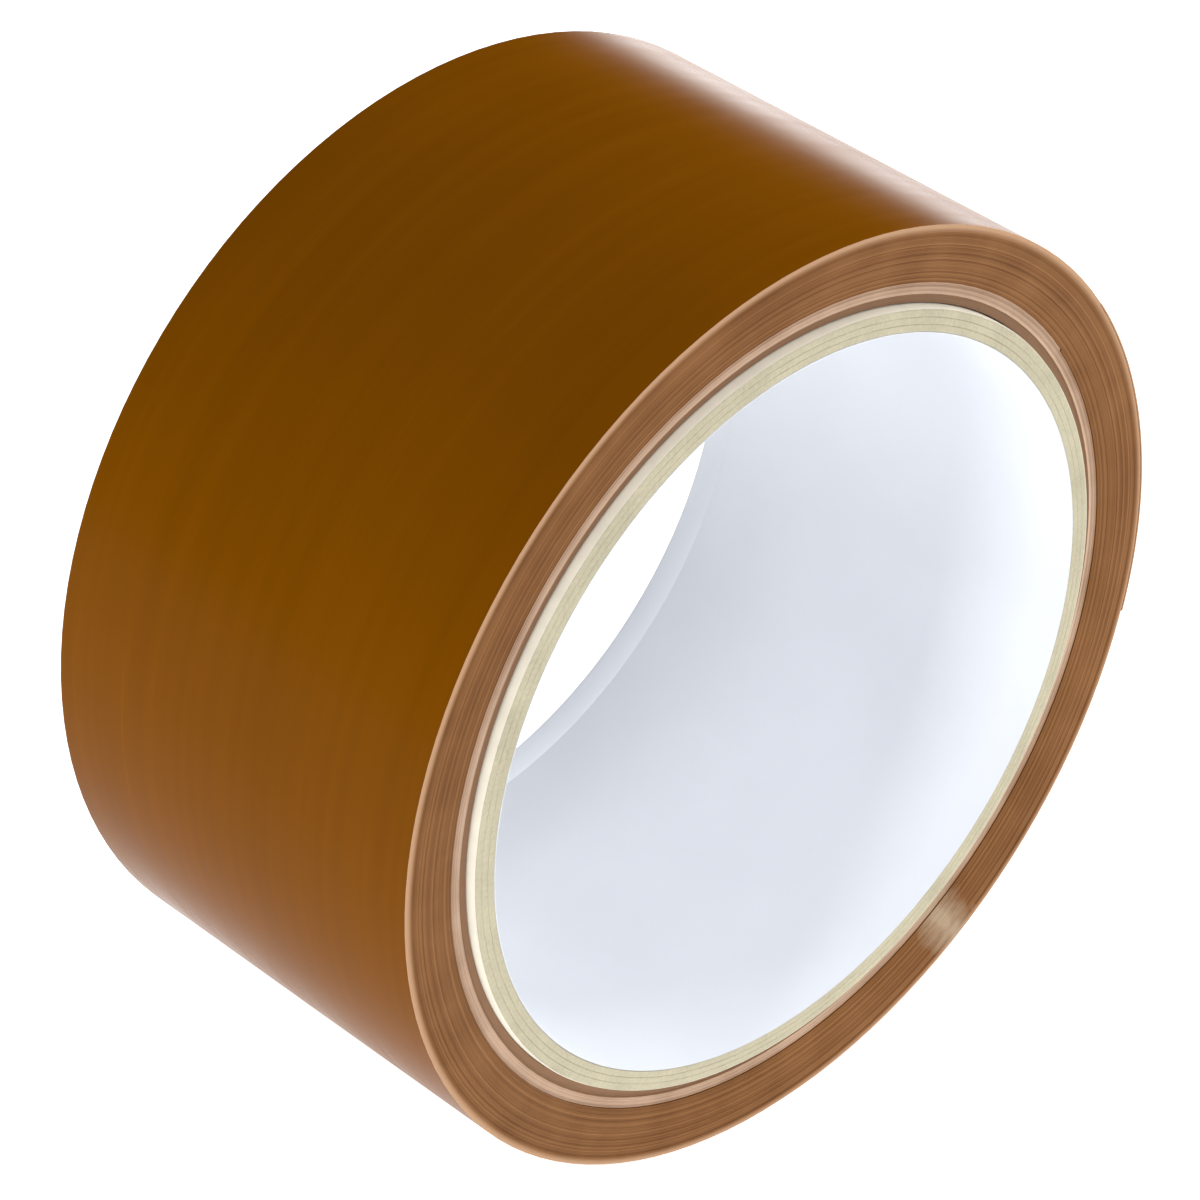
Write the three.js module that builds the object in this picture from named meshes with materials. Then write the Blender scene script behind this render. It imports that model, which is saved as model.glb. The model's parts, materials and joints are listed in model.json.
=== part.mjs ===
// A wide roll of copper-brown adhesive tape wound on a paper core.
// Millimetres, +Z up. The roll stands on its edge like a wheel: its axis is Y and the origin is its
// centre, halfway along the core. Angles go round the axis from +X towards +Z.
import * as THREE from 'three';

// Driving dimensions
const ROLL_RADIUS = 48.7;     // outside of the last turn, at the tape's free end
const TAPE_WIDTH = 48;
const BORE_RADIUS = 38.1;     // half of a three-inch core
const CORE_PROUD = 0.4;       // how far each end of the core stands out past the tape
const TURN_THICKNESS = 0.15;  // the loose end and the turn under it, several real thicknesses
const SIDES = 60;             // flat facets in a full turn, one of them square to the ground
const END_ANGLE = -15;        // where the cut edge of the tape's free end lies
const END_LINKS = 8;          // stiff links that the free end bends between, one facet each
const LINK_GAP = 0.1;         // slit between neighbouring links
const GLUE_LINE = 0.02;       // air left between solids that touch

const FACET = 360 / SIDES;
const CORE_LENGTH = TAPE_WIDTH + 2 * CORE_PROUD;

// Paper plies of the core, from the bore outwards
const PLIES = [
  { name: 'core_liner', thickness: 0.2, colour: 0xe6ebf2, roughness: 0.25 },
  { name: 'core_ply_inner', thickness: 0.7, colour: 0xcfc9b8, roughness: 0.9 },
  { name: 'core_ply_middle', thickness: 0.7, colour: 0xc4bca8, roughness: 0.9 },
  { name: 'core_ply_outer', thickness: 0.7, colour: 0xcac2ae, roughness: 0.9 },
  { name: 'core_wrap', thickness: 0.2, colour: 0xf7efdc, roughness: 0.7 },
];

// Stretches of the wound tape, from the core outwards. The knife that cut the roll to width left
// the turns near the core a little short of the outer ones: recess is that step at each end.
const STRETCHES = [
  { name: 'tape_first_turns', thickness: 2.1, recess: 0.65, colour: 0xc9a98c, roughness: 0.6 },
  { name: 'tape_pack_inner', thickness: 1.6, recess: 0.4, colour: 0x83542f, roughness: 0.5 },
  { name: 'tape_pack_middle', thickness: 1.7, recess: 0.15, colour: 0x8d5e3a, roughness: 0.5 },
];
const FILM = { colour: 0x774304, roughness: 0.35 };

function polar(radius, degrees) {
  const angle = THREE.MathUtils.degToRad(degrees);
  return new THREE.Vector2(radius * Math.cos(angle), radius * Math.sin(angle));
}

// The last turn's outer surface, back along the tape from its free end
function turnRadius(backFromEnd) {
  return ROLL_RADIUS - TURN_THICKNESS * backFromEnd / 360;
}

// A flat outline in X and Z, as thick as width along Y, centred on the roll
function slab(shape, width) {
  const geometry = new THREE.ExtrudeGeometry(shape, { depth: width, bevelEnabled: false });
  geometry.translate(0, 0, -width / 2);
  geometry.rotateX(Math.PI / 2);
  return geometry;
}

function facetCorners(radiusAt) {
  return Array.from({ length: SIDES }, (_, side) =>
    polar(radiusAt(side * FACET), END_ANGLE + side * FACET));
}

function ring(inner, outer, width) {
  const shape = new THREE.Shape(facetCorners(() => outer));
  shape.holes.push(new THREE.Path(facetCorners(() => inner)));
  return slab(shape, width);
}

function part(name, geometry, { colour, roughness }) {
  const material = new THREE.MeshStandardMaterial({ color: colour, roughness, metalness: 0 });
  const mesh = new THREE.Mesh(geometry, material);
  mesh.name = name;
  return mesh;
}

// Nested rings from startRadius outwards; returns the radius that the next one starts at
function nestRings(group, layers, startRadius, length) {
  let radius = startRadius;
  for (const layer of layers) {
    const { name, thickness, recess = 0 } = layer;
    const outer = radius + thickness - GLUE_LINE;
    group.add(part(name, ring(radius, outer, length - 2 * recess), layer));
    radius += thickness;
  }
  return radius;
}

// The outermost turns. Their surface is a spiral, with a shelf one turn deep under the free end.
function outerPack(innerRadius) {
  const shelf = END_LINKS * FACET;
  const outline = [];
  for (let back = 0; back <= shelf; back += FACET) {
    outline.push(polar(turnRadius(back) - TURN_THICKNESS - GLUE_LINE, END_ANGLE + back));
  }
  for (let back = shelf; back <= 360; back += FACET) {
    outline.push(polar(turnRadius(back), END_ANGLE + back));
  }
  const shape = new THREE.Shape(outline);
  shape.holes.push(new THREE.Path(facetCorners(() => innerRadius)));
  return slab(shape, TAPE_WIDTH);
}

// One stiff link of the free end. Link 1 is at the root and the last link holds the cut edge.
function endLink(number) {
  const rootBack = (END_LINKS - number + 1) * FACET;
  const tipBack = rootBack - FACET;
  const root = polar(turnRadius(rootBack), END_ANGLE + rootBack);
  const tip = polar(turnRadius(tipBack), END_ANGLE + tipBack);
  const along = tip.clone().sub(root).normalize();
  const inwards = new THREE.Vector2(along.y, -along.x).multiplyScalar(TURN_THICKNESS);
  root.addScaledVector(along, LINK_GAP / 2);
  tip.addScaledVector(along, -LINK_GAP / 2);
  const corners = [root, tip, tip.clone().add(inwards), root.clone().add(inwards)];
  return slab(new THREE.Shape(corners.reverse()), TAPE_WIDTH);
}

const roll = new THREE.Group();

const core = new THREE.Group();
const tapeRadius = nestRings(core, PLIES, BORE_RADIUS, CORE_LENGTH);
roll.add(core);

const tape = new THREE.Group();
const outerRadius = nestRings(tape, STRETCHES, tapeRadius, TAPE_WIDTH);
tape.add(part('tape_pack_outer', outerPack(outerRadius), FILM));
for (let number = 1; number <= END_LINKS; number += 1) {
  tape.add(part(`tape_end_link_${number}`, endLink(number), FILM));
}
roll.add(tape);

export default roll;
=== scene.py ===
"""A wide roll of copper-brown tape on a paper core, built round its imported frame.

Metres, +Z up. The roll stands on its edge like a wheel: its axis is Y and the origin is its centre.
Angles go round the axis from +X towards +Z, and the end that faces the viewer is the one at -Y.
"""

import json
import math

import bmesh
import bpy
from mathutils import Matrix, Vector, noise

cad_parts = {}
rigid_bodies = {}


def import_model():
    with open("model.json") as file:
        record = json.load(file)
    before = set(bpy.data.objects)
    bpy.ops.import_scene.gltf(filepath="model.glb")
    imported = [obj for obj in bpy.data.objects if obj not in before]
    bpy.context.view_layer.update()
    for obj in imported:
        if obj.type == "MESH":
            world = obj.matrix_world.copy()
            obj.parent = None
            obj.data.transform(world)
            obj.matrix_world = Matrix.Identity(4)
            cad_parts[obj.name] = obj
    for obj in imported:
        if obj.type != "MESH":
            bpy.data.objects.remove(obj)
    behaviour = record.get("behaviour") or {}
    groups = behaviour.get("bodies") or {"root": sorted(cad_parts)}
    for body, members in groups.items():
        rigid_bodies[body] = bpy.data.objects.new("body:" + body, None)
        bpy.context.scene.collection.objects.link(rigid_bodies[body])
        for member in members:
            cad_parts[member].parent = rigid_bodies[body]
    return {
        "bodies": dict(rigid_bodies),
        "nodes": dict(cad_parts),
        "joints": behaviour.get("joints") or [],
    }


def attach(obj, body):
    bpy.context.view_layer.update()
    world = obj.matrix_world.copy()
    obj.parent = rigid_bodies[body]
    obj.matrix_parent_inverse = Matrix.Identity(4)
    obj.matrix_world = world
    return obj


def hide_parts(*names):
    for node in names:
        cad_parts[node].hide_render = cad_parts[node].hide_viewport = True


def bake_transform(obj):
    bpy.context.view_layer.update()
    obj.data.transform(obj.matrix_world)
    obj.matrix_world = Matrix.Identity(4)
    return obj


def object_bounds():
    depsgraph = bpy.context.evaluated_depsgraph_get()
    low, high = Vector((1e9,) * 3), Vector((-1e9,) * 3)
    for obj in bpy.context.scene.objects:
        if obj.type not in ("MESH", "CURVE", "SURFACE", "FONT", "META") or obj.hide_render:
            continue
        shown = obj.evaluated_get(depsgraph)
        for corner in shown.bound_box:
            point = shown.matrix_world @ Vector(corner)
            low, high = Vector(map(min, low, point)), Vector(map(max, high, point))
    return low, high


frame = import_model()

bl_info = {
    "name": "Tape Roll",
    "version": (1, 0, 0),
    "blender": (4, 5, 0),
    "location": "View3D > Sidebar > Tape Roll",
    "description": "Builds a wound roll of adhesive tape on a paper core round its CAD frame",
    "category": "Object",
}

MM = 0.001
TAU = 2 * math.pi
CAD_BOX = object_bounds()

# Stretches of the one tape, from the outside inwards, and the slot of each
STRETCHES = {
    "tape_pack_outer": "tape_film",
    "tape_pack_middle": "tape_edge",
    "tape_pack_inner": "tape_edge",
    "tape_first_turns": "first_turns_edge",
}
PLIES = ("core_ply_inner", "core_ply_middle", "core_ply_outer")
LINKS = [name for name in frame["bodies"] if name != "roll"]
HINGES = {joint["child"]: Vector(joint["pos_m"]) for joint in frame["joints"]}


def linear(hex_colour):
    """An sRGB hex colour as linear red, green and blue."""
    parts = [int(hex_colour[i:i + 2], 16) / 255 for i in (1, 3, 5)]
    return [p / 12.92 if p <= 0.04045 else ((p + 0.055) / 1.055) ** 2.4 for p in parts]


def per(*sizes):
    """The scale of a pattern with features that many millimetres across, or a scale for each axis."""
    scales = [1 / (size * MM) for size in sizes]
    return scales if len(scales) > 1 else scales[0]


def polar(radius, angle, along=0.0):
    """The point at that distance from the axis, angle round it and place along it."""
    return Vector((radius * math.cos(angle), along, radius * math.sin(angle)))


def reach(node):
    """The inner radius, outer radius and half length of a CAD node that goes round the axis."""
    corners = [v.co for v in frame["nodes"][node].data.vertices]
    radii = [math.hypot(c.x, c.z) for c in corners]
    return min(radii), max(radii), max(c.y for c in corners)


def angle_of(point):
    """The angle of a point round the axis."""
    return math.atan2(point.z, point.x)


# The tape's own sizes, read off the hinges and the link at its cut end
ROOT_ANGLE = angle_of(HINGES[LINKS[0]])
ROOT_RADIUS = math.hypot(HINGES[LINKS[0]].x, HINGES[LINKS[0]].z)
LINK_ANGLE = ROOT_ANGLE - angle_of(HINGES[LINKS[1]])
TIP_ANGLE = ROOT_ANGLE - LINK_ANGLE * len(LINKS)


class RollSizes(bpy.types.PropertyGroup):
    """Sizes of the tape and of the details that the CAD leaves plain."""

    turn_thickness: bpy.props.FloatProperty(
        name="Turn thickness",
        description="One drawn turn, which stands for two or three real ones",
        default=0.15 * MM, unit="LENGTH", precision=6)
    steps_in_turn: bpy.props.IntProperty(
        name="Steps in a turn", description="Flat facets in each drawn turn", default=120, min=24)
    telescoping: bpy.props.FloatProperty(
        name="Telescoping", description="How far a turn may stand out of line with the rest",
        default=0.07 * MM, unit="LENGTH", precision=6)
    groove: bpy.props.FloatProperty(
        name="Groove", description="Depth of the line between two turns",
        default=0.02 * MM, unit="LENGTH", precision=6)
    sunk_depth: bpy.props.FloatProperty(
        name="Sunk depth",
        description="How far the turns right against the core lie below the next",
        default=0.22 * MM, unit="LENGTH", precision=6)
    sunk_turns: bpy.props.IntProperty(
        name="Sunk turns", description="Drawn turns that lie that low", default=7, min=0)
    rim_drop: bpy.props.FloatProperty(
        name="Rim drop", description="How far handling rounded the last turns over",
        default=0.06 * MM, unit="LENGTH", precision=6)
    rim_turns: bpy.props.FloatProperty(
        name="Rim turns", description="Drawn turns that are rounded over", default=3.0, min=0.1)
    board_slope: bpy.props.FloatProperty(
        name="Board slope", description="How steeply the cut end of the core falls away outwards",
        default=0.08, min=0.0, max=0.2)
    crush_length: bpy.props.FloatProperty(
        name="Crush length",
        description="Band at the far end of the bore that the cutter pressed in",
        default=2.8 * MM, unit="LENGTH", precision=6)
    crush: bpy.props.FloatProperty(
        name="Crush", description="How far that band is pressed in",
        default=0.15 * MM, unit="LENGTH", precision=6)
    torn_edge: bpy.props.FloatProperty(
        name="Torn edge", description="Height of the torn fibres on the cut ends of the board",
        default=0.05 * MM, unit="LENGTH", precision=6)


class RollColours(bpy.types.PropertyGroup):
    """The colours of the roll's materials."""

    film: bpy.props.FloatVectorProperty(
        name="Film", description="Outside of the tape", subtype="COLOR", default=linear("#7b4700"))
    edge_dark: bpy.props.FloatVectorProperty(
        name="Edge, dark turns", description="Slit edges with the least adhesive on them",
        subtype="COLOR", default=linear("#6b401c"))
    edge_light: bpy.props.FloatVectorProperty(
        name="Edge, light turns", description="Slit edges with the most adhesive on them",
        subtype="COLOR", default=linear("#a17145"))
    # A painted highlight: the outermost turns painted pale all round, where the rounded rim catches
    # the light
    edge_rim_highlight: bpy.props.FloatVectorProperty(
        name="Edge, rim highlight", description="Outermost turns, painted pale as a highlight",
        subtype="COLOR", default=linear("#d6ac88"))
    # A painted highlight: the pale streak of light that the turns reflect across the near end
    edge_glint: bpy.props.FloatVectorProperty(
        name="Edge, glint", description="A painted highlight streak across the near end",
        subtype="COLOR", default=linear("#c3ad92"))
    # Painted shade: the sunk turns against the core take this darker colour for the crevice's shadow
    first_dark: bpy.props.FloatVectorProperty(
        name="Edge, sunk turns", description="The sunk turns right against the core",
        subtype="COLOR", default=linear("#977459"))
    first_light: bpy.props.FloatVectorProperty(
        name="Edge, first turns", description="The paler turns round those",
        subtype="COLOR", default=linear("#e6c6ac"))
    adhesive: bpy.props.FloatVectorProperty(
        name="Adhesive", description="Inside of the tape",
        subtype="COLOR", default=linear("#9a6a34"))
    board: bpy.props.FloatVectorProperty(
        name="Board", description="Grey board of the core",
        subtype="COLOR", default=linear("#cdc5aa"))
    wrap: bpy.props.FloatVectorProperty(
        name="Wrap", description="Paper round the outside of the core",
        subtype="COLOR", default=linear("#fffcec"))
    liner: bpy.props.FloatVectorProperty(
        name="Liner", description="Coated paper inside the bore",
        subtype="COLOR", default=linear("#ebeef4"))


def add(tree, kind, links=None, **settings):
    """Adds a node. links gives an input its value, or the node or output that feeds it."""
    node = tree.nodes.new(kind)
    for name, value in settings.items():
        setattr(node, name, value)
    for key, value in (links or {}).items():
        if isinstance(value, bpy.types.Node):
            value = value.outputs[0]
        if isinstance(value, bpy.types.NodeSocket):
            tree.links.new(value, node.inputs[key])
        else:
            node.inputs[key].default_value = value
    return node


def paint(name, build, *colours):
    """The material of that name, which build(tree, shader, *colours) makes the first time."""
    material = bpy.data.materials.get(name)
    if material is None:
        material = bpy.data.materials.new(name)
        material.use_nodes = True
        tree = material.node_tree
        shader = tree.nodes["Principled BSDF"]
        build(tree, shader, *[(*colour, 1.0) for colour in colours])
    return material


def polypropylene_film(tree, shader, brown):
    """Biaxially drawn polypropylene film, coloured in the mass and wound tight: one even brown with
    hardly any shine face on, and a milky sheen where it is seen almost edge on."""
    place = add(tree, "ShaderNodeTexCoord").outputs["Object"]
    # Drawing leaves streaks along the tape, long round the roll and 1 to 2 mm across it
    streak_scale = add(tree, "ShaderNodeMapping", {0: place, "Scale": per(71.43, 1.613, 71.43)})
    streaks = add(tree, "ShaderNodeTexNoise", {"Vector": streak_scale, "Scale": 1.0, "Detail": 3.0})
    # The turns below press through as patches about 30 mm long
    patches = add(tree, "ShaderNodeTexNoise", {"Vector": place, "Scale": per(29.41), "Detail": 2.0})
    both = add(tree, "ShaderNodeMath", {0: streaks, 1: patches}, operation="ADD")
    shade = add(tree, "ShaderNodeMapRange", {0: both, 1: 0.7, 2: 1.3, 3: 0.93, 4: 1.07})
    colour = add(tree, "ShaderNodeVectorMath", {0: brown[:3], "Scale": shade}, operation="SCALE")
    gloss = add(tree, "ShaderNodeMapRange", {0: both, 1: 0.7, 2: 1.3, 3: 0.2, 4: 0.28})
    bump = add(tree, "ShaderNodeBump", {"Height": both, "Strength": 0.08, "Distance": 0.02 * MM})
    tree.links.new(colour.outputs[0], shader.inputs["Base Color"])
    tree.links.new(gloss.outputs[0], shader.inputs["Roughness"])
    tree.links.new(bump.outputs[0], shader.inputs["Normal"])
    shader.inputs["IOR"].default_value = 1.49
    shader.inputs["Specular IOR Level"].default_value = 0.025


def slit_edge(tree, shader, dark, light, rim, glint_colour):
    """Edges of the wound tape where a razor slit it: film, colour and adhesive in thin layers, which
    show as fine concentric lines from brown to dusty pink. The outermost turns are painted pale, a
    painted highlight along the rim, and a pale streak across the near end is a painted highlight too."""
    place = add(tree, "ShaderNodeTexCoord").outputs["Object"]
    # Each turn's tone, darker on the turns sunk against the core: a painted shade in the crevice there
    tone = add(tree, "ShaderNodeAttribute", attribute_name="turn_tone_and_shade").outputs["Fac"]
    # Adhesive picked up while slitting lies in clouds about 6 mm across
    cloud = add(tree, "ShaderNodeTexNoise", {"Vector": place, "Scale": per(6.25), "Detail": 4.0})
    mottled = add(tree, "ShaderNodeMath", {0: cloud, 1: 0.35, 2: tone}, operation="MULTIPLY_ADD")
    share = add(tree, "ShaderNodeMapRange", {0: mottled, 1: 0.45, 2: 0.9, 3: 0.0, 4: 1.0})
    layers = add(tree, "ShaderNodeMix", {0: share, 6: dark, 7: light}, data_type="RGBA")
    flat = add(tree, "ShaderNodeVectorMath", {0: place, 1: (1, 0, 1)}, operation="MULTIPLY")
    radius = add(tree, "ShaderNodeVectorMath", {0: flat}, operation="LENGTH").outputs["Value"]
    # The outermost turns are painted paler, a painted highlight along the rounded rim
    highlight_from, highlight_to = ROOT_RADIUS - 0.8 * MM, ROOT_RADIUS - 0.3 * MM
    painted_rim_highlight = add(tree, "ShaderNodeMapRange", {
        0: radius, 1: highlight_from, 2: highlight_to, 3: 0.0, 4: 0.8})
    # A painted highlight right across the near end, about 5 mm wide, low on the right: a pale streak
    # where the concentric turns reflect the light. Its size is given as half lengths across the end,
    # into it and round it, and its border is ragged by about 1.5 mm
    glint_angle = math.radians(300.5)
    glint_centre = polar(45 * MM, glint_angle, -24 * MM)
    glint_size = (10 * MM, 6 * MM, 3.4 * MM)
    glint_place = add(tree, "ShaderNodeMapping", {
        0: place, "Location": glint_centre, "Rotation": (0, -glint_angle, 0), "Scale": glint_size,
    }, vector_type="TEXTURE")
    glint_far = add(tree, "ShaderNodeVectorMath", {
        0: glint_place}, operation="LENGTH").outputs["Value"]
    glint_border = add(tree, "ShaderNodeTexNoise", {"Vector": place, "Scale": per(1.4286), "Detail": 2.0})
    ragged = add(tree, "ShaderNodeMath", {0: glint_border, 1: 0.9, 2: glint_far}, operation="MULTIPLY_ADD")
    painted_glint = add(tree, "ShaderNodeMapRange", {0: ragged, 1: 0.55, 2: 1.45, 3: 0.8, 4: 0.0})
    rimmed = add(tree, "ShaderNodeMix", {0: painted_rim_highlight, 6: layers.outputs[2], 7: rim}, data_type="RGBA")
    colour = add(tree, "ShaderNodeMix", {
        0: painted_glint, 6: rimmed.outputs[2], 7: glint_colour}, data_type="RGBA")
    # A razor leaves nicks under 0.05 mm, drawn 0.2 mm across so that they show
    grain = add(tree, "ShaderNodeTexNoise", {"Vector": place, "Scale": per(0.1923), "Detail": 2.0})
    bump = add(tree, "ShaderNodeBump", {"Height": grain, "Strength": 0.25, "Distance": 0.02 * MM})
    tree.links.new(colour.outputs[2], shader.inputs["Base Color"])
    tree.links.new(bump.outputs[0], shader.inputs["Normal"])
    shader.inputs["Roughness"].default_value = 0.6
    shader.inputs["Specular IOR Level"].default_value = 0.1


def acrylic_adhesive(tree, shader, amber):
    """Water-based acrylic adhesive, coated and dried: a smooth, glossy amber film, with fine ripples
    about 1 mm apart and 25 mm long from the coating."""
    place = add(tree, "ShaderNodeTexCoord").outputs["Object"]
    ripple_scale = add(tree, "ShaderNodeMapping", {0: place, "Scale": per(25, 1.111, 25)})
    ripple = add(tree, "ShaderNodeTexNoise", {"Vector": ripple_scale, "Scale": 1.0, "Detail": 2.0})
    shade = add(tree, "ShaderNodeMapRange", {0: ripple, 1: 0.3, 2: 0.7, 3: 0.92, 4: 1.06})
    colour = add(tree, "ShaderNodeVectorMath", {0: amber[:3], "Scale": shade}, operation="SCALE")
    bump = add(tree, "ShaderNodeBump", {"Height": ripple, "Strength": 0.2, "Distance": 0.02 * MM})
    tree.links.new(colour.outputs[0], shader.inputs["Base Color"])
    tree.links.new(bump.outputs[0], shader.inputs["Normal"])
    shader.inputs["Roughness"].default_value = 0.16
    shader.inputs["IOR"].default_value = 1.47


def grey_board(tree, shader, grey):
    """Recycled grey board, cut across with a knife: matt, warm grey, with short fibres and a few
    darker and paler specks."""
    place = add(tree, "ShaderNodeTexCoord").outputs["Object"]
    # Paper fibres are 1 mm long and 0.03 mm across, drawn 0.4 mm across so that they show
    fibre_scale = add(tree, "ShaderNodeMapping", {
        0: place, "Scale": per(0.3846, 1.111, 0.3846)})
    fibre = add(tree, "ShaderNodeTexNoise", {"Vector": fibre_scale, "Scale": 1.0, "Detail": 5.0})
    # Pulp settles in clouds about 5 mm across
    cloud = add(tree, "ShaderNodeTexNoise", {"Vector": place, "Scale": per(4.762), "Detail": 3.0})
    both = add(tree, "ShaderNodeMath", {0: fibre, 1: cloud}, operation="ADD")
    shade = add(tree, "ShaderNodeMapRange", {0: both, 1: 0.65, 2: 1.35, 3: 0.86, 4: 1.1})
    colour = add(tree, "ShaderNodeVectorMath", {0: grey[:3], "Scale": shade}, operation="SCALE")
    bump = add(tree, "ShaderNodeBump", {"Height": fibre, "Strength": 0.5, "Distance": 0.05 * MM})
    tree.links.new(colour.outputs[0], shader.inputs["Base Color"])
    tree.links.new(bump.outputs[0], shader.inputs["Normal"])
    shader.inputs["Roughness"].default_value = 0.9
    shader.inputs["Specular IOR Level"].default_value = 0.2


def cream_paper(tree, shader, cream):
    """Bleached kraft paper, machine glazed: smooth and creamy white, with faint clouds of fibre about
    2 mm across."""
    place = add(tree, "ShaderNodeTexCoord").outputs["Object"]
    cloud = add(tree, "ShaderNodeTexNoise", {"Vector": place, "Scale": per(2.381), "Detail": 5.0})
    shade = add(tree, "ShaderNodeMapRange", {0: cloud, 1: 0.3, 2: 0.7, 3: 0.95, 4: 1.03})
    colour = add(tree, "ShaderNodeVectorMath", {0: cream[:3], "Scale": shade}, operation="SCALE")
    bump = add(tree, "ShaderNodeBump", {"Height": cloud, "Strength": 0.2, "Distance": 0.03 * MM})
    tree.links.new(colour.outputs[0], shader.inputs["Base Color"])
    tree.links.new(bump.outputs[0], shader.inputs["Normal"])
    shader.inputs["Roughness"].default_value = 0.6


def clay_coated_paper(tree, shader, white):
    """Clay-coated paper, calendered: cool white with a soft gloss, and shallow waves about 17 mm
    long where it was glued to the board."""
    place = add(tree, "ShaderNodeTexCoord").outputs["Object"]
    cloud = add(tree, "ShaderNodeTexNoise", {"Vector": place, "Scale": per(16.67), "Detail": 4.0})
    shade = add(tree, "ShaderNodeMapRange", {0: cloud, 1: 0.3, 2: 0.7, 3: 0.98, 4: 1.02})
    colour = add(tree, "ShaderNodeVectorMath", {0: white[:3], "Scale": shade}, operation="SCALE")
    gloss = add(tree, "ShaderNodeMapRange", {0: cloud, 1: 0.3, 2: 0.7, 3: 0.3, 4: 0.4})
    bump = add(tree, "ShaderNodeBump", {"Height": cloud, "Strength": 0.12, "Distance": 0.1 * MM})
    tree.links.new(colour.outputs[0], shader.inputs["Base Color"])
    tree.links.new(gloss.outputs[0], shader.inputs["Roughness"])
    tree.links.new(bump.outputs[0], shader.inputs["Normal"])
    shader.inputs["IOR"].default_value = 1.5


def opal_table(tree, shader):
    """Matt opal acrylic, lit from below: plain and pale, and so bright that shadows hardly show."""
    shader.inputs["Base Color"].default_value = (*linear("#c8c8c8"), 1.0)
    shader.inputs["Roughness"].default_value = 0.9
    shader.inputs["Specular IOR Level"].default_value = 0.1
    shader.inputs["Emission Color"].default_value = (1.0, 1.0, 1.0, 1.0)
    shader.inputs["Emission Strength"].default_value = 0.92


def film_material(colours):
    """The film that shows on the outside of the tape."""
    return paint("polypropylene_film", polypropylene_film, colours.film)


def edge_material(colours):
    """The slit edges of the wound tape and of its free end."""
    return paint("slit_tape_edge", slit_edge, colours.edge_dark, colours.edge_light,
                 colours.edge_rim_highlight, colours.edge_glint)


def new_piece(name, mesh, materials):
    """An object for a mesh that is already in its place."""
    piece = bpy.data.objects.new(name, mesh)
    bpy.context.scene.collection.objects.link(piece)
    for material in materials:
        mesh.materials.append(material)
    return piece


def close_up(mesh):
    """Turns the faces of a mesh outwards, and fails if it has a hole."""
    work = bmesh.new()
    work.from_mesh(mesh)
    if any(len(edge.link_faces) != 2 for edge in work.edges):
        raise RuntimeError(f"{mesh.name} isn't closed")
    bmesh.ops.recalc_face_normals(work, faces=work.faces)
    work.to_mesh(mesh)
    work.free()


def smooth_but_corners(mesh, corner=math.radians(50)):
    """Shades a mesh smooth, with an edge where two faces meet at more than the corner angle."""
    mesh.shade_smooth()
    mesh.set_sharp_from_angle(angle=corner)


def turned_ring(name, outline, steps=180, torn=0.0):
    """A ring turned round the axis from a closed outline of (radius, place along the axis, whether
    it is on a cut end). The points on a cut end move along the axis by an uneven amount up to torn,
    and the faces there have the second material."""
    points = []
    for step in range(steps):
        angle = TAU * step / steps
        for radius, along, at_cut in outline:
            # Torn fibres stand up in tufts about half a millimetre across, 1.9 to the millimetre
            lift = noise.noise(polar(radius, angle, along) * per(1 / 1.9)) if at_cut else 0.0
            points.append(polar(radius, angle, along + torn * lift))
    count = len(outline)
    faces, kinds = [], []
    for step in range(steps):
        here, there = step * count, (step + 1) % steps * count
        for i in range(count):
            after = (i + 1) % count
            faces.append((here + i, here + after, there + after, there + i))
            kinds.append(int(outline[i][2] and outline[after][2]))
    mesh = bpy.data.meshes.new(name)
    mesh.from_pydata(points, [], faces)
    mesh.polygons.foreach_set("material_index", kinds)
    close_up(mesh)
    smooth_but_corners(mesh)
    return mesh


def ply_outline(inner, outer, half_length, bore, slope, corner, worn=0.0):
    """The outline of a ply, with points across its cut ends for the torn fibres. The corners are
    broken, and the outer one worn in by that much and down by three times as much. The ends fall
    away by that slope from the bore outwards."""
    from_radius, to_radius, gaps = inner + corner, outer - corner - worn, 4
    across = [from_radius + (to_radius - from_radius) * i / gaps for i in range(gaps + 1)]
    near = [(inner, -half_length + slope * (inner - bore) + corner, False)]
    near += [(radius, -half_length + slope * (radius - bore), True) for radius in across]
    near.append((outer, -half_length + slope * (outer - bore) + corner + 3 * worn, False))
    return near + [(radius, -along, at_cut) for radius, along, at_cut in reversed(near)]


def liner_outline(inner, outer, half_length, sizes):
    """The outline of the liner: its near edge rolled over the board, its far end pressed in."""
    lip = 0.1 * MM
    wall = outer - inner
    crush_from = half_length - sizes.crush_length
    crease = 0.16 * MM
    points = (
        (outer, -half_length + lip), (outer - 0.3 * wall, -half_length),
        (inner + 0.3 * wall, -half_length + 0.2 * lip), (inner, -half_length + 2.5 * lip),
        (inner, -half_length / 3), (inner, half_length / 3), (inner, crush_from - crease),
        (inner + 0.6 * crease, crush_from), (inner - 0.1 * crease, crush_from + crease),
        (inner - sizes.crush, half_length - lip), (inner - sizes.crush + lip, half_length),
        (outer, half_length),
    )
    return [(radius, along, False) for radius, along in points]


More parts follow.
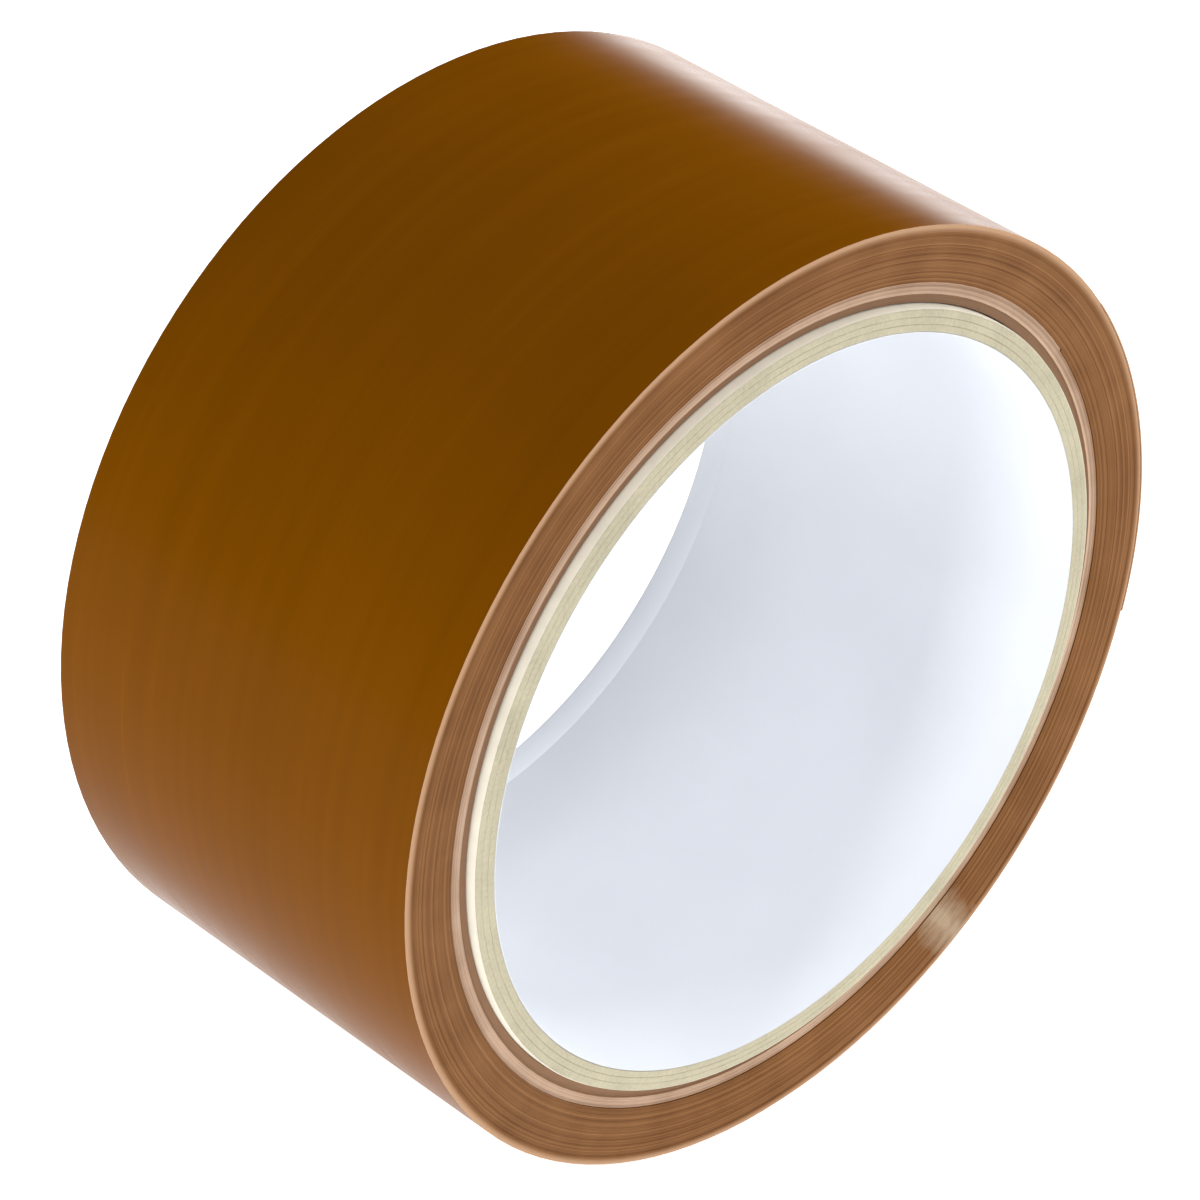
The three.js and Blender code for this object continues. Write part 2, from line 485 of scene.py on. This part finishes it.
class CoreOperator(bpy.types.Operator):
    """Makes the paper core: the liner, three plies of board and the wrap"""

    bl_idname = "tape_roll.core"
    bl_label = "Paper Core"

    def execute(self, context):
        sizes, colours = context.scene.roll_sizes, context.scene.roll_colours
        board = paint("grey_board_cut", grey_board, colours.board)
        paper = paint("clay_coated_paper", clay_coated_paper, colours.liner)
        cream = paint("glazed_cream_paper", cream_paper, colours.wrap)

        bore = reach("core_liner")[0]
        mesh = turned_ring("liner", liner_outline(*reach("core_liner"), sizes))
        liner = new_piece("liner", mesh, [paper])
        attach(liner, "roll")
        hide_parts("core_liner")

        fine_steps = 240
        board_corner, wrap_corner, wrap_worn = 0.025 * MM, 0.02 * MM, 0.1 * MM
        for node in PLIES:
            outline = ply_outline(*reach(node), bore, sizes.board_slope, board_corner)
            mesh = turned_ring(node, outline, steps=fine_steps, torn=sizes.torn_edge)
            ply = new_piece(node.replace("core_", "board_"), mesh, [board, board])
            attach(ply, "roll")
            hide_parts(node)

        # Nothing holds the paper down past the tape's edge, so its outer corner is worn to a slope.
        # It has finer fibres than the board
        outline = ply_outline(
            *reach("core_wrap"), bore, sizes.board_slope, wrap_corner, wrap_worn)
        mesh = turned_ring("wrap", outline, steps=fine_steps, torn=0.4 * sizes.torn_edge)
        wrap = new_piece("wrap", mesh, [cream, board])
        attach(wrap, "roll")
        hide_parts("core_wrap")
        return {"FINISHED"}


def winding_tree():
    """Geometry nodes that wind a stretch of tape. A grid has a row for each step back along the tape,
    and nine columns round its section: 0 to 3 across the near edge, 3 to 4 over the film, 4 to 7 back
    across the far edge, and 7 to 8 down the inside. It is bent into a spiral, and the film that lies
    between turns is left out."""
    tree = bpy.data.node_groups.new("Wound tape", "GeometryNodeTree")
    for name, kind in (
        ("Outer Radius", "NodeSocketFloat"), ("End Angle", "NodeSocketFloat"),
        ("Turn Thickness", "NodeSocketFloat"), ("Turns", "NodeSocketInt"),
        ("Steps in Turn", "NodeSocketInt"), ("Half Width Inside", "NodeSocketFloat"),
        ("Half Width Outside", "NodeSocketFloat"), ("Telescoping", "NodeSocketFloat"),
        ("Groove", "NodeSocketFloat"), ("Seed", "NodeSocketFloat"),
        ("Sunk Turns", "NodeSocketInt"), ("Sunk Depth", "NodeSocketFloat"),
        ("Rim Turns", "NodeSocketFloat"), ("Rim Drop", "NodeSocketFloat"),
        ("Edge Material", "NodeSocketMaterial"), ("Film Material", "NodeSocketMaterial"),
    ):
        tree.interface.new_socket(name, in_out="INPUT", socket_type=kind)
    tree.interface.new_socket("Geometry", in_out="OUTPUT", socket_type="NodeSocketGeometry")
    given = tree.nodes.new("NodeGroupInput").outputs

    # The grid, one unit from row to row and from column to column, with a row more at each end to
    # cap it
    steps = add(tree, "ShaderNodeMath", {
        0: given["Turns"], 1: given["Steps in Turn"]}, operation="MULTIPLY")
    length = add(tree, "ShaderNodeMath", {0: steps, 1: 2.0}, operation="ADD")
    rows = add(tree, "ShaderNodeMath", {0: steps, 1: 3.0}, operation="ADD")
    grid = add(tree, "GeometryNodeMeshGrid", {
        "Size X": length, "Size Y": 8.0, "Vertices X": rows, "Vertices Y": 9})
    place = add(tree, "ShaderNodeSeparateXYZ", {0: add(tree, "GeometryNodeInputPosition")})
    column = add(tree, "ShaderNodeMath", {0: place.outputs["Y"], 1: 4.0}, operation="ADD")
    half_steps = add(tree, "ShaderNodeMath", {0: steps, 1: 0.5}, operation="MULTIPLY")
    middle_out = add(tree, "ShaderNodeMath", {0: place.outputs["X"]}, operation="ABSOLUTE")
    # How many steps back from the stretch's outer end, held within the tape at the caps
    back_free = add(tree, "ShaderNodeMath", {
        0: half_steps, 1: place.outputs["X"]}, operation="SUBTRACT")
    back_low = add(tree, "ShaderNodeMath", {0: back_free, 1: 0.0}, operation="MAXIMUM")
    back_steps = add(tree, "ShaderNodeMath", {0: back_low, 1: steps}, operation="MINIMUM")
    back = add(tree, "ShaderNodeMath", {
        0: back_steps, 1: given["Steps in Turn"]}, operation="DIVIDE")

    # Leave out the film between turns: the outside of all but the last turn, and the inside of all
    # but the first. A face's column is that of its middle, 3.5 outside and 7.5 inside
    on_tape = add(tree, "ShaderNodeMath", {0: middle_out, 1: half_steps}, operation="LESS_THAN")
    outside = add(tree, "ShaderNodeMath", {0: column, 1: 3.5, 2: 0.1}, operation="COMPARE")
    inside = add(tree, "ShaderNodeMath", {0: column, 1: 7.5, 2: 0.1}, operation="COMPARE")
    under = add(tree, "ShaderNodeMath", {0: back, 1: 1.0}, operation="GREATER_THAN")
    last_turn = add(tree, "ShaderNodeMath", {0: given["Turns"], 1: 1.0}, operation="SUBTRACT")
    over = add(tree, "ShaderNodeMath", {0: back, 1: last_turn}, operation="LESS_THAN")
    outside_hidden = add(tree, "ShaderNodeMath", {0: outside, 1: under}, operation="MULTIPLY")
    inside_hidden = add(tree, "ShaderNodeMath", {0: inside, 1: over}, operation="MULTIPLY")
    either = add(tree, "ShaderNodeMath", {0: outside_hidden, 1: inside_hidden}, operation="ADD")
    hidden = add(tree, "ShaderNodeMath", {0: either, 1: on_tape}, operation="MULTIPLY")
    strip = add(tree, "GeometryNodeDeleteGeometry", {
        "Geometry": grid, "Selection": hidden}, domain="FACE")

    # Where the column lies across the turn's thickness, from 0 inside to 1 outside, and half way at
    # a cap
    from_other_side = add(tree, "ShaderNodeMath", {0: 7.0, 1: column}, operation="SUBTRACT")
    folded = add(tree, "ShaderNodeMath", {0: column, 1: from_other_side}, operation="MINIMUM")
    count = add(tree, "ShaderNodeMath", {0: folded, 1: 0.0}, operation="MAXIMUM")
    across = add(tree, "ShaderNodeMath", {0: count, 1: 3.0}, operation="DIVIDE")
    cap_from = add(tree, "ShaderNodeMath", {0: half_steps, 1: 0.5}, operation="ADD")
    cap = add(tree, "ShaderNodeMath", {0: middle_out, 1: cap_from}, operation="GREATER_THAN")
    to_middle = add(tree, "ShaderNodeMath", {0: 0.5, 1: across}, operation="SUBTRACT")
    held = add(tree, "ShaderNodeMath", {0: cap, 1: to_middle, 2: across}, operation="MULTIPLY_ADD")
    deep = add(tree, "ShaderNodeMath", {0: back, 1: held}, operation="SUBTRACT")
    turns_deep = add(tree, "ShaderNodeMath", {0: deep, 1: 1.0}, operation="ADD")
    inwards = add(tree, "ShaderNodeMath", {
        0: turns_deep, 1: given["Turn Thickness"]}, operation="MULTIPLY")
    radius = add(tree, "ShaderNodeMath", {
        0: given["Outer Radius"], 1: inwards}, operation="SUBTRACT")

    # Each turn stands out by its own uneven amount, in waves of one or two turns, and the lower of
    # two neighbours sets the line between them
    off_centre = add(tree, "ShaderNodeMath", {0: to_middle}, operation="ABSOLUTE")
    between = add(tree, "ShaderNodeMath", {0: off_centre, 1: 0.5, 2: 0.1}, operation="COMPARE")
    which_way = add(tree, "ShaderNodeMath", {0: to_middle, 1: 2.0}, operation="MULTIPLY")
    neighbour = add(tree, "ShaderNodeMath", {
        0: between, 1: which_way, 2: back}, operation="MULTIPLY_ADD")
    own_place = add(tree, "ShaderNodeMath", {0: back, 1: given["Seed"]}, operation="ADD")
    next_place = add(tree, "ShaderNodeMath", {0: neighbour, 1: given["Seed"]}, operation="ADD")
    own_lift, next_lift = (
        add(tree, "ShaderNodeTexNoise", {"W": at, "Scale": 0.6, "Detail": 3.0, "Roughness": 0.7},
            noise_dimensions="1D")
        for at in (own_place, next_place))
    lower = add(tree, "ShaderNodeMath", {0: own_lift, 1: next_lift}, operation="MINIMUM")
    centred = add(tree, "ShaderNodeMath", {0: lower, 1: 0.5}, operation="SUBTRACT")
    lift = add(tree, "ShaderNodeMath", {0: centred, 1: given["Telescoping"]}, operation="MULTIPLY")
    share_in = add(tree, "ShaderNodeMath", {0: turns_deep, 1: given["Turns"]}, operation="DIVIDE")
    width = add(tree, "ShaderNodeMix", {
        0: share_in, 2: given["Half Width Outside"], 3: given["Half Width Inside"]}, data_type="FLOAT")
    lifted = add(tree, "ShaderNodeMath", {0: width, 1: lift}, operation="ADD")
    cut = add(tree, "ShaderNodeMath", {0: between, 1: given["Groove"]}, operation="MULTIPLY")
    grooved = add(tree, "ShaderNodeMath", {0: lifted, 1: cut}, operation="SUBTRACT")

    # The first turns are sunk against the core, in a step 0.7 of a turn wide, and the last ones are
    # rounded over at the rim
    deepest = add(tree, "ShaderNodeMath", {0: given["Turns"], 1: 1.0}, operation="ADD")
    sunk_from = add(tree, "ShaderNodeMath", {
        0: deepest, 1: given["Sunk Turns"]}, operation="SUBTRACT")
    sunk_to = add(tree, "ShaderNodeMath", {0: sunk_from, 1: 0.7}, operation="ADD")
    sunk = add(tree, "ShaderNodeMapRange", {
        0: turns_deep, 1: sunk_from, 2: sunk_to, 3: 0.0, 4: 1.0})
    sinking = add(tree, "ShaderNodeMath", {0: sunk, 1: given["Sunk Depth"]}, operation="MULTIPLY")
    rounding = add(tree, "ShaderNodeMapRange", {
        0: turns_deep, 1: 0.0, 2: given["Rim Turns"], 3: given["Rim Drop"], 4: 0.0})
    dropped = add(tree, "ShaderNodeMath", {0: sinking, 1: rounding}, operation="ADD")
    half_width = add(tree, "ShaderNodeMath", {0: grooved, 1: dropped}, operation="SUBTRACT")
    # Columns 4 to 7 are on the far side, and a cap closes on the middle of the tape
    far_side = add(tree, "ShaderNodeMath", {0: column, 1: 5.5, 2: 1.6}, operation="COMPARE")
    side = add(tree, "ShaderNodeMath", {0: far_side, 1: 2.0, 2: -1.0}, operation="MULTIPLY_ADD")
    open_section = add(tree, "ShaderNodeMath", {0: 1.0, 1: cap}, operation="SUBTRACT")
    signed = add(tree, "ShaderNodeMath", {0: half_width, 1: side}, operation="MULTIPLY")
    along = add(tree, "ShaderNodeMath", {0: signed, 1: open_section}, operation="MULTIPLY")

    # Bend the rows round the axis
    in_turn = add(tree, "ShaderNodeMath", {
        0: back_steps, 1: given["Steps in Turn"]}, operation="MODULO")
    share = add(tree, "ShaderNodeMath", {0: in_turn, 1: given["Steps in Turn"]}, operation="DIVIDE")
    angle = add(tree, "ShaderNodeMath", {
        0: share, 1: TAU, 2: given["End Angle"]}, operation="MULTIPLY_ADD")
    cosine = add(tree, "ShaderNodeMath", {0: angle}, operation="COSINE")
    sine = add(tree, "ShaderNodeMath", {0: angle}, operation="SINE")
    x = add(tree, "ShaderNodeMath", {0: radius, 1: cosine}, operation="MULTIPLY")
    z = add(tree, "ShaderNodeMath", {0: radius, 1: sine}, operation="MULTIPLY")
    point = add(tree, "ShaderNodeCombineXYZ", {"X": x, "Y": along, "Z": z})
    # The tone of the edges changes every two or three turns, and the sunk turns against the core are
    # made darker, a painted shade in the crevice by the core
    tone = add(tree, "ShaderNodeTexNoise", {
        "W": own_place, "Scale": 0.4, "Detail": 3.0, "Roughness": 0.65}, noise_dimensions="1D")
    shaded_tone = add(tree, "ShaderNodeMath", {0: tone, 1: sunk}, operation="SUBTRACT")
    toned = add(tree, "GeometryNodeStoreNamedAttribute", {
        "Geometry": strip, "Name": "turn_tone_and_shade", "Value": shaded_tone}, data_type="FLOAT", domain="POINT")
    wound = add(tree, "GeometryNodeSetPosition", {"Geometry": toned, "Position": point})
    welded = add(tree, "GeometryNodeMergeByDistance", {"Geometry": wound, "Distance": 0.002 * MM})

    # Smooth, with the two rims kept sharp, and film wherever the face doesn't look along the axis
    smooth = add(tree, "GeometryNodeSetShadeSmooth", {
        "Geometry": welded, "Shade Smooth": True}, domain="FACE")
    bend = add(tree, "GeometryNodeInputMeshEdgeAngle")
    soft = add(tree, "ShaderNodeMath", {0: bend, 1: math.radians(25)}, operation="LESS_THAN")
    rimmed = add(tree, "GeometryNodeSetShadeSmooth", {
        "Geometry": smooth, "Shade Smooth": soft}, domain="EDGE")
    real = add(tree, "GeometryNodeRealizeInstances", {"Geometry": rimmed})
    edged = add(tree, "GeometryNodeSetMaterial", {
        "Geometry": real, "Material": given["Edge Material"]})
    facing = add(tree, "ShaderNodeSeparateXYZ", {0: add(tree, "GeometryNodeInputNormal")})
    endways = add(tree, "ShaderNodeMath", {0: facing.outputs["Y"]}, operation="ABSOLUTE")
    is_film = add(tree, "ShaderNodeMath", {0: endways, 1: 0.3}, operation="LESS_THAN")
    finished = add(tree, "GeometryNodeSetMaterial", {
        "Geometry": edged, "Selection": is_film, "Material": given["Film Material"]})
    add(tree, "NodeGroupOutput", {"Geometry": finished})
    return tree


def grown(name, tree, values):
    """A plain mesh object, grown by a geometry nodes tree from the values for its named inputs."""
    piece = bpy.data.objects.new(name, bpy.data.meshes.new(name + "_seed"))
    bpy.context.scene.collection.objects.link(piece)
    modifier = piece.modifiers.new("Growth", "NODES")
    modifier.node_group = tree
    for socket in tree.interface.items_tree:
        if socket.in_out == "INPUT":
            modifier[socket.identifier] = values[socket.name]
    depsgraph = bpy.context.evaluated_depsgraph_get()
    mesh = bpy.data.meshes.new_from_object(piece.evaluated_get(depsgraph))
    mesh.name = name
    piece.modifiers.clear()
    piece.data = mesh
    return piece


class WindingOperator(bpy.types.Operator):
    """Winds the tape on the core, in four stretches that each stand for one CAD node"""

    bl_idname = "tape_roll.winding"
    bl_label = "Wound Tape"

    def execute(self, context):
        sizes, colours = context.scene.roll_sizes, context.scene.roll_colours
        film, edge = film_material(colours), edge_material(colours)
        first = paint("slit_edge_first_turns", slit_edge, colours.first_dark, colours.first_light,
                      colours.edge_rim_highlight, colours.edge_glint)
        tree = winding_tree()
        radius = ROOT_RADIUS
        width_outside = reach("tape_pack_outer")[2]
        # Seeds so far apart that no stretch repeats the turns of another
        first_seed, seed_gap = 7.3, 100
        for number, (node, slot) in enumerate(STRETCHES.items()):
            inner, _, half_width = reach(node)
            turns = int((radius - inner) / sizes.turn_thickness)
            recessed = node == "tape_first_turns"
            # The CAD has the first turns at their mean width, half way down to the sunk ones
            raised = 0.5 * sizes.sunk_depth if recessed else 0.0
            piece = grown(node.replace("tape_", "wound_"), tree, {
                "Outer Radius": radius, "End Angle": ROOT_ANGLE,
                "Turn Thickness": sizes.turn_thickness, "Turns": turns,
                "Steps in Turn": sizes.steps_in_turn,
                "Half Width Inside": half_width + raised,
                "Half Width Outside": half_width + raised if recessed else width_outside,
                "Telescoping": sizes.telescoping, "Groove": sizes.groove,
                "Seed": first_seed + seed_gap * number,
                "Sunk Turns": sizes.sunk_turns if recessed else 0, "Sunk Depth": sizes.sunk_depth,
                "Rim Turns": sizes.rim_turns, "Rim Drop": sizes.rim_drop if number == 0 else 0.0,
                "Edge Material": first if recessed else edge, "Film Material": film,
            })
            close_up(piece.data)
            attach(piece, "roll")
            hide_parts(node)
            radius -= turns * sizes.turn_thickness
            width_outside = half_width
        return {"FINISHED"}


def strip_mesh(name, from_angle, to_angle, outside, thickness, half_width, steps=12):
    """A piece of the tape's free end between two angles, with film outside, adhesive inside and cut
    edges. outside(angle) gives the radius of the film."""
    section = ((0.0, -1), (0.0, 1), (1.0, 1), (1.0, -1))
    points = []
    for step in range(steps + 1):
        angle = from_angle + (to_angle - from_angle) * step / steps
        for inwards, side in section:
            points.append(polar(outside(angle) - thickness * inwards, angle, half_width * side))
    faces, kinds = [(0, 1, 2, 3), tuple(4 * steps + i for i in (3, 2, 1, 0))], [1, 1]
    for step in range(steps):
        here, there = 4 * step, 4 * step + 4
        for i, kind in enumerate((0, 1, 2, 1)):
            faces.append((here + i, there + i, there + (i + 1) % 4, here + (i + 1) % 4))
            kinds.append(kind)
    mesh = bpy.data.meshes.new(name)
    mesh.from_pydata(points, [], faces)
    mesh.polygons.foreach_set("material_index", kinds)
    close_up(mesh)
    smooth_but_corners(mesh)
    return mesh


class FreeEndOperator(bpy.types.Operator):
    """Makes the tape's free end, in pieces that each span one hinge"""

    bl_idname = "tape_roll.free_end"
    bl_label = "Free End"

    def execute(self, context):
        sizes, colours = context.scene.roll_sizes, context.scene.roll_colours
        film, edge = film_material(colours), edge_material(colours)
        glue = paint("acrylic_adhesive", acrylic_adhesive, colours.adhesive)
        half_width = reach("tape_pack_outer")[2]
        # The free end lies this far off the turn below, as a piece of its own
        clear = 0.01 * MM

        def outside(angle):
            return ROOT_RADIUS + clear + sizes.turn_thickness * (ROOT_ANGLE - angle) / TAU

        before, start_angle = "roll", ROOT_ANGLE
        for number, link in enumerate(LINKS, 1):
            middle = ROOT_ANGLE - LINK_ANGLE * (number - 0.5)
            end_angle = TIP_ANGLE if link == LINKS[-1] else middle
            name = f"free_end_{number}"
            mesh = strip_mesh(
                name, start_angle, end_angle, outside, sizes.turn_thickness, half_width)
            piece = new_piece(name, mesh, [film, edge, glue])
            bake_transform(piece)
            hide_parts("tape_" + link)
            before, start_angle = link, middle
        return {"FINISHED"}


class StageOperator(bpy.types.Operator):
    """Sets up the camera, the pale floor and the soft studio lights"""

    bl_idname = "tape_roll.stage"
    bl_label = "Stage"

    def execute(self, context):
        scene = context.scene
        # The camera is off the near end, to the left and above, and looks just beside the centre
        azimuth, elevation = math.radians(-43.689), math.radians(36.089)
        aim_right, aim_up, distance = -1.377 * MM, -0.243 * MM, 523.53 * MM
        right = Vector((math.cos(azimuth), math.sin(azimuth), 0))
        back = Vector((math.sin(azimuth) * math.cos(elevation),
                       -math.cos(azimuth) * math.cos(elevation), math.sin(elevation)))
        up = back.cross(right)
        lens = bpy.data.cameras.new("camera")
        lens.lens, lens.sensor_width = 163.81, 36.0
        lens.clip_start, lens.clip_end = 0.01, 20.0
        camera = bpy.data.objects.new("camera", lens)
        camera.location = aim_right * right + aim_up * up + distance * back
        camera.rotation_euler = (-back).to_track_quat("-Z", "Y").to_euler()
        scene.collection.objects.link(camera)
        scene.camera = camera

        low, far = CAD_BOX[0].z, 3.0
        corners = [(-far, -far, low), (far, -far, low), (far, far, low), (-far, far, low)]
        mesh = bpy.data.meshes.new("floor")
        mesh.from_pydata(corners, [], [(0, 1, 2, 3)])
        floor = new_piece("floor", mesh, [paint("opal_acrylic_table", opal_table)])

        world = bpy.data.worlds.new("studio")
        world.use_nodes = True
        # The studio is brighter before the near end of the roll, to the right, than behind the far
        # end, to the left
        beyond_the_far_end = (-0.45, 0.89, 0.0)
        tree = world.node_tree
        direction = add(tree, "ShaderNodeTexCoord").outputs["Generated"]
        forwards = add(tree, "ShaderNodeVectorMath", {
            0: direction, 1: beyond_the_far_end}, operation="DOT_PRODUCT").outputs["Value"]
        strength = add(tree, "ShaderNodeMapRange", {0: forwards, 1: -1.0, 2: 1.0, 3: 0.72, 4: 0.3})
        tree.nodes["Background"].inputs["Color"].default_value = (1.0, 1.0, 1.0, 1.0)
        tree.links.new(strength.outputs[0], tree.nodes["Background"].inputs["Strength"])
        world.cycles_visibility.glossy = False
        scene.world = world
        scene.view_settings.view_transform = "Standard"

        # White soft boxes that face the centre, and a small one inside the bore that faces down to
        # the left: where each stands, its width and height, its power, and whether it is reflected
        for name, place, size, power, glossy in (
            ("low_beyond_the_right", (0.25, 0.18, -0.02), (0.4, 0.06), 0.17, True),
            ("right_of_the_roll", (0.5, 0.0, 0.3), (0.3, 0.3), 2.6, False),
            ("left_of_the_near_end", (-0.8, -0.12, 0.15), (0.12, 0.12), 2.1, False),
            ("inside_the_bore", (0.007, 0.002, 0.01), (0.02, 0.02), 0.0068, False),
        ):
            lamp = bpy.data.lights.new(name, "AREA")
            lamp.shape = "RECTANGLE"
            lamp.size, lamp.size_y = size
            lamp.energy = power
            box = bpy.data.objects.new(name, lamp)
            box.location = place
            box.rotation_euler = (-Vector(place)).to_track_quat("-Z", "Y").to_euler()
            box.visible_glossy = glossy
            box.visible_camera = False
            scene.collection.objects.link(box)
        return {"FINISHED"}


class RollPanel(bpy.types.Panel):
    """The steps that build the tape roll, in order"""

    bl_idname = "VIEW3D_PT_tape_roll"
    bl_label = "Tape Roll"
    bl_space_type = "VIEW_3D"
    bl_region_type = "UI"
    bl_category = "Tape Roll"

    def draw(self, context):
        for operator in OPERATORS:
            self.layout.operator(operator.bl_idname)
        for group in (context.scene.roll_sizes, context.scene.roll_colours):
            for name in group.__annotations__:
                self.layout.prop(group, name)


OPERATORS = (StageOperator, CoreOperator, WindingOperator, FreeEndOperator)
CLASSES = (RollSizes, RollColours, *OPERATORS, RollPanel)


def register():
    for cls in CLASSES:
        bpy.utils.register_class(cls)
    bpy.types.Scene.roll_sizes = bpy.props.PointerProperty(type=RollSizes)
    bpy.types.Scene.roll_colours = bpy.props.PointerProperty(type=RollColours)


def unregister():
    del bpy.types.Scene.roll_colours
    del bpy.types.Scene.roll_sizes
    for cls in reversed(CLASSES):
        bpy.utils.unregister_class(cls)


def main():
    register()
    bpy.ops.tape_roll.stage()
    bpy.ops.tape_roll.core()
    bpy.ops.tape_roll.winding()
    bpy.ops.tape_roll.free_end()


if __name__ == "__main__":
    main()
